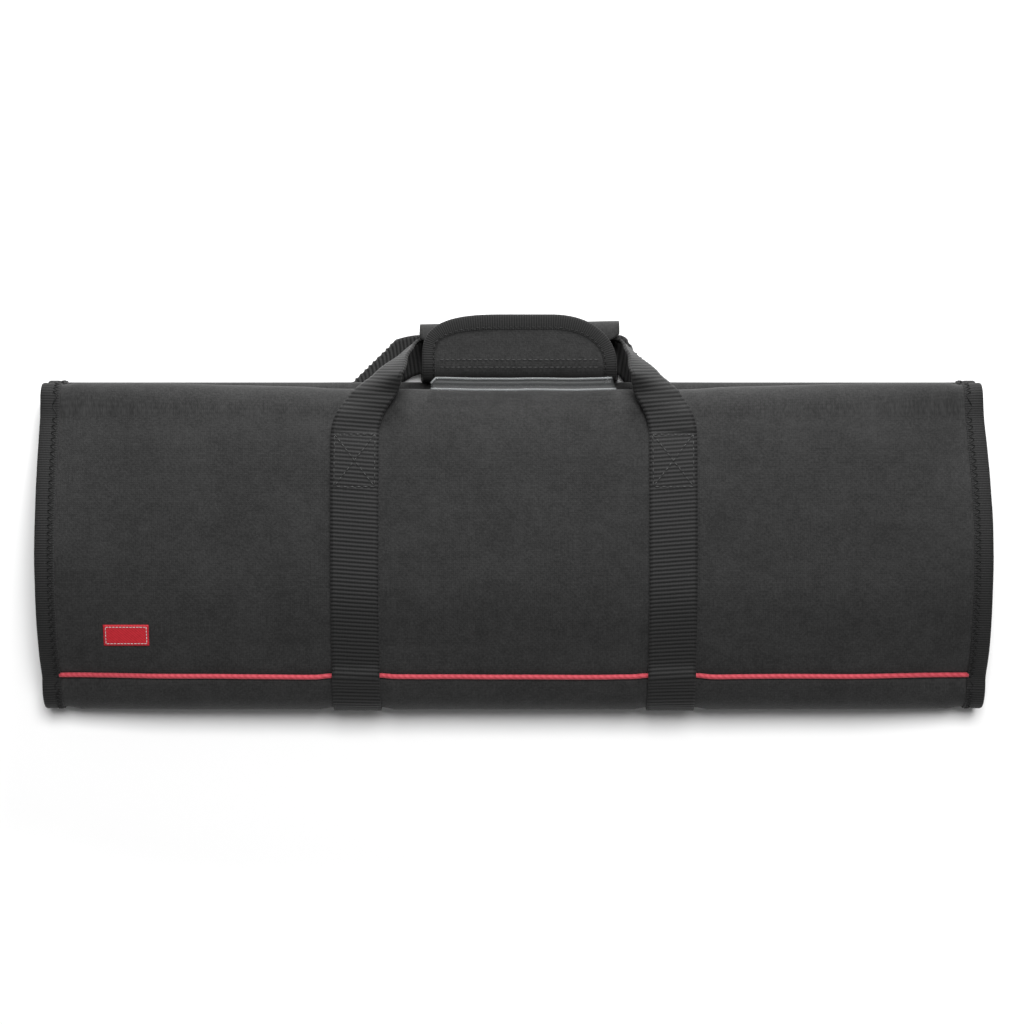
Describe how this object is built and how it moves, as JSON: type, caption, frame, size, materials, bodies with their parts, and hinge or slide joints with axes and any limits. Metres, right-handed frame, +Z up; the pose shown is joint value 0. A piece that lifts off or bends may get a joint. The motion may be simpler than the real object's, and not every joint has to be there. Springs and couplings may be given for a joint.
{
  "type": "folding chef knife roll",
  "caption": "Black nylon chef knife roll, folded shut and lying on its back: bound ends, a red piped seam, webbing carrying loops held in a wrap-round grip, and a clear card sleeve.",
  "frame": {"origin": "centre of the back panel's flat resting face, on the floor", "axes": "+X along the roll to its right end, +Y towards the carrying grip, +Z up from the floor, out of the front panel"},
  "size_m": [0.5, 0.2114, 0.0551],
  "materials": {
    "black_fabric": "matte woven nylon",
    "black_tape": "matte ribbed binding tape",
    "black_webbing": "ribbed polypropylene webbing with a slight sheen",
    "red_piping": "matte woven cord",
    "red_label": "matte woven label",
    "clear_vinyl": "clear glossy plastic sheet"
  },
  "bodies": {
    "root": {"front_panel": "black_fabric", "back_panel": "black_fabric", "piping": "red_piping", "edge_binding_left": "black_tape", "edge_binding_right": "black_tape", "front_webbing": "black_webbing", "rear_webbing": "black_webbing", "grip_wrap": "black_fabric", "grip_binding": "black_tape", "card_sleeve": "clear_vinyl", "blank_label": "red_label"}
  },
  "joints": []
}
